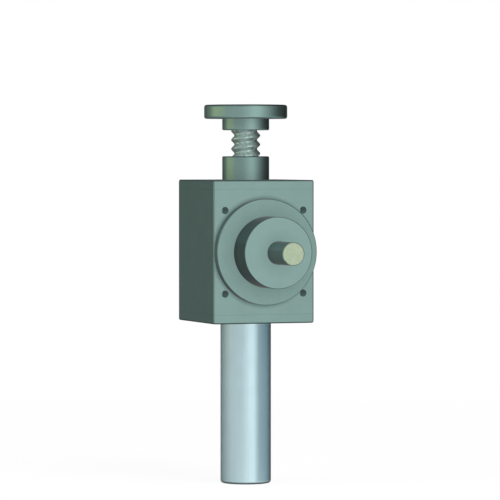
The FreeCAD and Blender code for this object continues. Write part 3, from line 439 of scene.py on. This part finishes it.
def shaft_steel():
    """Coated shaft with a bare, pale end face."""
    material, tree, shader, place = metal(
        "shaft_steel", COAT, roughness=TURNED_ROUGHNESS, patch=10 * MM, contrast=0.04,
    )
    tip = below(tree, place, "Y", -SHAFT_TIP)
    dull = scaled(PALE_STEEL, 1.0 - BARE_TONE)
    bright = scaled(PALE_STEEL, 1.0 + BARE_TONE)
    bare = tinted(tree, noise(tree, place, size=5 * MM), dull, bright)
    coat = shader.inputs["Base Color"].links[0].from_socket
    tree.links.new(mixed(tree, tip, coat, bare), shader.inputs["Base Color"])
    # Painted shade in the shaft's corners.
    shade_painted_in_corners(tree, shader, CORNER_REACH, CORNER_SHADE)
    machined(tree, shader, coordinates(tree, (0, 0, INPUT_LEVEL)), "Y", pitch=0.6 * MM, depth=0.006 * MM)
    return material


def gear_steel():
    """Cut and hardened gear steel."""
    material, tree, shader, place = metal(
        "gear_steel", grey(0.34), roughness=0.32, patch=6 * MM, contrast=0.1,
    )
    relief(tree, shader, noise(tree, place, size=0.6 * MM, detail=4.0), depth=0.008 * MM)
    return material


def bearing_steel():
    """Ground and polished bearing steel."""
    material, tree, shader, place = metal(
        "bearing_steel", (0.62, 0.63, 0.64), roughness=0.18, patch=10 * MM, contrast=0.03,
    )
    relief(tree, shader, noise(tree, place, size=0.3 * MM), depth=0.001 * MM)
    return material


def cage_steel():
    """Pressed sheet cage."""
    material, tree, shader, place = metal(
        "cage_steel", (0.42, 0.43, 0.45), roughness=0.35, patch=5 * MM, contrast=0.08,
    )
    relief(tree, shader, noise(tree, place, size=0.5 * MM), depth=0.004 * MM)
    return material


def plain_steel():
    """Blackened fasteners, rings and spacers."""
    material, tree, shader, place = metal(
        "plain_steel", (0.13, 0.14, 0.145), roughness=0.36, patch=4 * MM, contrast=0.12,
    )
    relief(tree, shader, noise(tree, place, size=0.4 * MM), depth=0.004 * MM)
    return material


MATERIAL_MAKERS = (
    housing_paint, cover_steel, carrier_steel, plate_steel, tube_aluminium, cap_plastic, rubber, bronze,
    nipple_steel, screw_steel, shaft_steel, gear_steel, bearing_steel, cage_steel, plain_steel,
)


def dress_nodes():
    """Every CAD node gets the material of its slot in the record, and mirrors the studio only."""
    materials = {maker.__name__: maker() for maker in MATERIAL_MAKERS}
    for row in frame["record"]["subparts"]:
        node = frame["nodes"][row["node"]]
        node.visible_glossy = False
        mesh = node.data
        mesh.materials.clear()
        mesh.materials.append(materials[row["material_slot"]])


def studio_direction(turn):
    """A level direction, turned to the right from the camera's side of the part, in degrees."""
    angle = math.radians(turn)
    towards_camera = Vector((-math.sin(CAMERA_TURN), -math.cos(CAMERA_TURN), 0))
    to_the_right = Vector((math.cos(CAMERA_TURN), -math.sin(CAMERA_TURN), 0))
    return towards_camera * math.cos(angle) + to_the_right * math.sin(angle)


def between(first, second, share):
    """A colour part of the way from one to another."""
    return tuple(a + (b - a) * share for a, b in zip(first, second))


def card_material():
    """The light that a studio card sends back, stored on its points."""
    material = bpy.data.materials.new("studio_card")
    material.use_nodes = True
    tree = material.node_tree
    tree.nodes.clear()
    light = tree.nodes.new("ShaderNodeAttribute")
    light.attribute_name = "light"
    emission = tree.nodes.new("ShaderNodeEmission")
    output = tree.nodes.new("ShaderNodeOutputMaterial")
    tree.links.new(light.outputs["Color"], emission.inputs["Color"])
    tree.links.new(emission.outputs["Emission"], output.inputs["Surface"])
    return material


def add_card(name, points, faces, lights, material):
    """A card that only the metal's reflections see."""
    mesh = bpy.data.meshes.new(name)
    mesh.from_pydata(points, [], faces)
    attribute = mesh.attributes.new("light", "FLOAT_COLOR", "POINT")
    for row, light in zip(attribute.data, lights):
        row.color = light + (1.0,)
    mesh.materials.append(material)
    card = bpy.data.objects.new(name, mesh)
    bpy.context.scene.collection.objects.link(card)
    card.visible_camera = False
    card.visible_diffuse = False
    card.visible_shadow = False
    card.visible_transmission = False


def wall_card(name, turns, lights_across, low, high, material):
    """A curved card that stands round the part, its light fading from one edge to the other."""
    turn_from, turn_to = turns
    columns = max(1, round((turn_to - turn_from) / CARD_STEP))
    points = []
    lights = []
    faces = []
    for column in range(columns + 1):
        share = column / columns
        place = studio_direction(turn_from + (turn_to - turn_from) * share) * CARD_DISTANCE
        for height in (low, high):
            points.append((place.x, place.y, height))
            lights.append(between(*lights_across, share))
        if column:
            faces.append((2 * column - 2, 2 * column, 2 * column + 1, 2 * column - 1))
    add_card(name, points, faces, lights, material)


def card_belt(name, low, high, stops, material):
    """Cards edge to edge between two heights, through stops of (turn, light)."""
    for index, (start, end) in enumerate(zip(stops, stops[1:])):
        wall_card(f"{name}_{index}", (start[0], end[0]), (start[1], end[1]), low, high, material)


def light_at(stops, turn):
    """The light of a belt at a turn; where the belt is open, that of its first stop."""
    for (start, first), (end, second) in zip(stops, stops[1:]):
        if start <= turn <= end:
            return between(first, second, (turn - start) / (end - start))
    return stops[0][1]


def round_card(name, height, light_middle, rim_stops, material):
    """A round card above or below the part, with the light of a belt at its rim."""
    points = [(0.0, 0.0, height)]
    lights = [light_middle]
    faces = []
    for corner in range(FLOOR_CORNERS):
        turn = rim_stops[0][0] + 360.0 * corner / FLOOR_CORNERS
        place = studio_direction(turn) * CARD_DISTANCE
        points.append((place.x, place.y, height))
        lights.append(light_at(rim_stops, turn))
        faces.append((0, 1 + corner, 1 + (corner + 1) % FLOOR_CORNERS))
    add_card(name, points, faces, lights, material)


def add_cards():
    """Belts of cards round the part, from right to left, with the white backdrop open at the right front."""
    material = card_material()
    olive = (0.80, 0.80, 0.52)
    straw = (0.77, 0.77, 0.55)
    moss = (0.42, 0.43, 0.34)
    haze = (0.34, 0.40, 0.40)
    steel = (0.27, 0.33, 0.36)
    slate = (0.21, 0.29, 0.33)
    high = (
        (38, grey(0.98)), (58, grey(0.60)), (110, grey(0.18)), (144, grey(0.14)),
        (176, haze), (214, haze), (240, grey(0.40)), (270, grey(0.52)),
        (310, grey(0.56)), (346, grey(0.50)), (362, grey(0.60)), (378, grey(0.96)),
    )
    upper = (
        (38, grey(0.98)), (70, grey(0.49)), (88, grey(0.24)), (104, grey(0.13)),
        (144, grey(0.07)), (168, grey(0.22)), (192, grey(0.28)), (224, grey(0.30)),
        (246, moss), (262, olive), (292, straw), (306, grey(0.62)),
        (346, grey(0.68)), (378, grey(0.96)),
    )
    lower = (
        (38, grey(0.98)), (60, steel), (108, slate), (144, grey(0.06)),
        (168, grey(0.22)), (192, grey(0.28)), (224, grey(0.30)), (238, grey(0.34)),
        (256, grey(0.40)), (290, grey(0.58)), (346, grey(0.66)), (378, grey(0.96)),
    )
    low = (
        (38, grey(0.98)), (70, grey(0.75)), (110, grey(0.44)), (144, grey(0.28)),
        (170, grey(0.28)), (240, grey(0.30)), (262, grey(0.42)), (290, grey(0.55)),
        (340, grey(0.80)), (378, grey(0.97)),
    )
    card_belt("high_card", UPPER_EDGE, CARD_HEIGHT, high, material)
    card_belt("upper_card", MIDDLE_EDGE, UPPER_EDGE, upper, material)
    card_belt("lower_card", LOWER_EDGE, MIDDLE_EDGE, lower, material)
    card_belt("low_card", -CARD_HEIGHT, LOWER_EDGE, low, material)
    dim = ((0, grey(GROUND_RIM_LIGHT)), (360, grey(GROUND_RIM_LIGHT)))
    round_card("ceiling_card", CARD_HEIGHT, grey(ROUND_CARD_LIGHT), high, material)
    round_card("ground_card", -CARD_HEIGHT, grey(ROUND_CARD_LIGHT), dim, material)


def background_rays(tree):
    """A mask of the rays that see the background: the camera's own, and those from metal and glass."""
    path = tree.nodes.new("ShaderNodeLightPath")
    seen = combined(tree, "MAXIMUM", path.outputs["Is Camera Ray"], path.outputs["Is Glossy Ray"])
    return combined(tree, "MAXIMUM", seen, path.outputs["Is Transmission Ray"])


def add_world():
    """A white backdrop for what the camera and the metal see, and a soft even light on the rest."""
    world = bpy.data.worlds.new("studio")
    bpy.context.scene.world = world
    world.use_nodes = True
    tree = world.node_tree
    background = tree.nodes["Background"]
    background.inputs["Color"].default_value = WHITE
    tree.links.new(ranged(tree, background_rays(tree), FILL_LIGHT, 1.0), background.inputs["Strength"])


def floor_material():
    """Pale floor with the part's soft shadow, fading to the white backdrop and clear from below."""
    material = bpy.data.materials.new("floor_white")
    material.use_nodes = True
    tree = material.node_tree
    tree.nodes.clear()
    diffuse = tree.nodes.new("ShaderNodeBsdfDiffuse")
    diffuse.inputs["Color"].default_value = FLOOR_COLOUR
    glow = tree.nodes.new("ShaderNodeEmission")
    glow.inputs["Color"].default_value = WHITE
    mix = tree.nodes.new("ShaderNodeMixShader")
    place = tree.nodes.new("ShaderNodeTexCoord")
    distance = tree.nodes.new("ShaderNodeVectorMath")
    distance.operation = "LENGTH"
    tree.links.new(place.outputs["Object"], distance.inputs["Vector"])
    fade = tree.nodes.new("ShaderNodeMapRange")
    fade.inputs["From Max"].default_value = FLOOR_FADE
    fade.inputs["To Min"].default_value = FLOOR_GLOW
    tree.links.new(distance.outputs["Value"], fade.inputs["Value"])
    share = combined(tree, "MULTIPLY", background_rays(tree), fade.outputs["Result"])
    tree.links.new(share, mix.inputs["Fac"])
    tree.links.new(diffuse.outputs["BSDF"], mix.inputs[1])
    tree.links.new(glow.outputs["Emission"], mix.inputs[2])
    side = tree.nodes.new("ShaderNodeNewGeometry")
    clear = tree.nodes.new("ShaderNodeBsdfTransparent")
    from_below = tree.nodes.new("ShaderNodeMixShader")
    tree.links.new(side.outputs["Backfacing"], from_below.inputs["Fac"])
    tree.links.new(mix.outputs["Shader"], from_below.inputs[1])
    tree.links.new(clear.outputs["BSDF"], from_below.inputs[2])
    output = tree.nodes.new("ShaderNodeOutputMaterial")
    tree.links.new(from_below.outputs["Shader"], output.inputs["Surface"])
    return material


def add_floor():
    """A wide round floor under the tube's end."""
    level = cad_box[0].z
    mesh = bpy.data.meshes.new("floor")
    turns = [360.0 * corner / FLOOR_CORNERS for corner in range(FLOOR_CORNERS)]
    corners = [studio_direction(turn) * FLOOR_RADIUS for turn in turns]
    mesh.from_pydata([(corner.x, corner.y, level) for corner in corners], [], [tuple(range(FLOOR_CORNERS))])
    mesh.materials.append(floor_material())
    floor = bpy.data.objects.new("floor", mesh)
    bpy.context.scene.collection.objects.link(floor)
    floor.visible_glossy = False


def add_lamp(name, turn, height, size, watts):
    """A large soft lamp that faces the part; the cards alone are seen in the metal."""
    lamp_data = bpy.data.lights.new(name, "AREA")
    lamp_data.shape = "DISK"
    lamp_data.size = size
    lamp_data.energy = watts
    lamp = bpy.data.objects.new(name, lamp_data)
    lamp.location = studio_direction(turn) * LAMP_DISTANCE + Vector((0, 0, height))
    lamp.rotation_mode = "QUATERNION"
    lamp.rotation_quaternion = (-lamp.location).to_track_quat("-Z", "Y")
    lamp.visible_glossy = False
    bpy.context.scene.collection.objects.link(lamp)


def add_lamps():
    """A key from the right front and a weaker fill from the left."""
    add_lamp("key_lamp", turn=36, height=1.9, size=1.6, watts=40)
    add_lamp("fill_lamp", turn=-60, height=1.6, size=1.8, watts=18)


def add_camera():
    """The camera at the photograph's place and angle."""
    camera_data = bpy.data.cameras.new("photo_camera")
    camera_data.sensor_width = SENSOR_MM
    camera_data.lens = FOCAL_LENGTH_PX / IMAGE_PX * SENSOR_MM
    camera = bpy.data.objects.new("photo_camera", camera_data)
    place = studio_direction(0) * CAMERA_DISTANCE
    camera.location = (place.x, place.y, CAMERA_HEIGHT)
    camera.rotation_euler = (math.radians(90) - AIM_DOWN, 0, -CAMERA_TURN - AIM_RIGHT)
    bpy.context.scene.collection.objects.link(camera)
    bpy.context.scene.camera = camera


bpy.context.scene.view_settings.view_transform = "Standard"
dress_nodes()
add_world()
add_cards()
add_floor()
add_lamps()
add_camera()
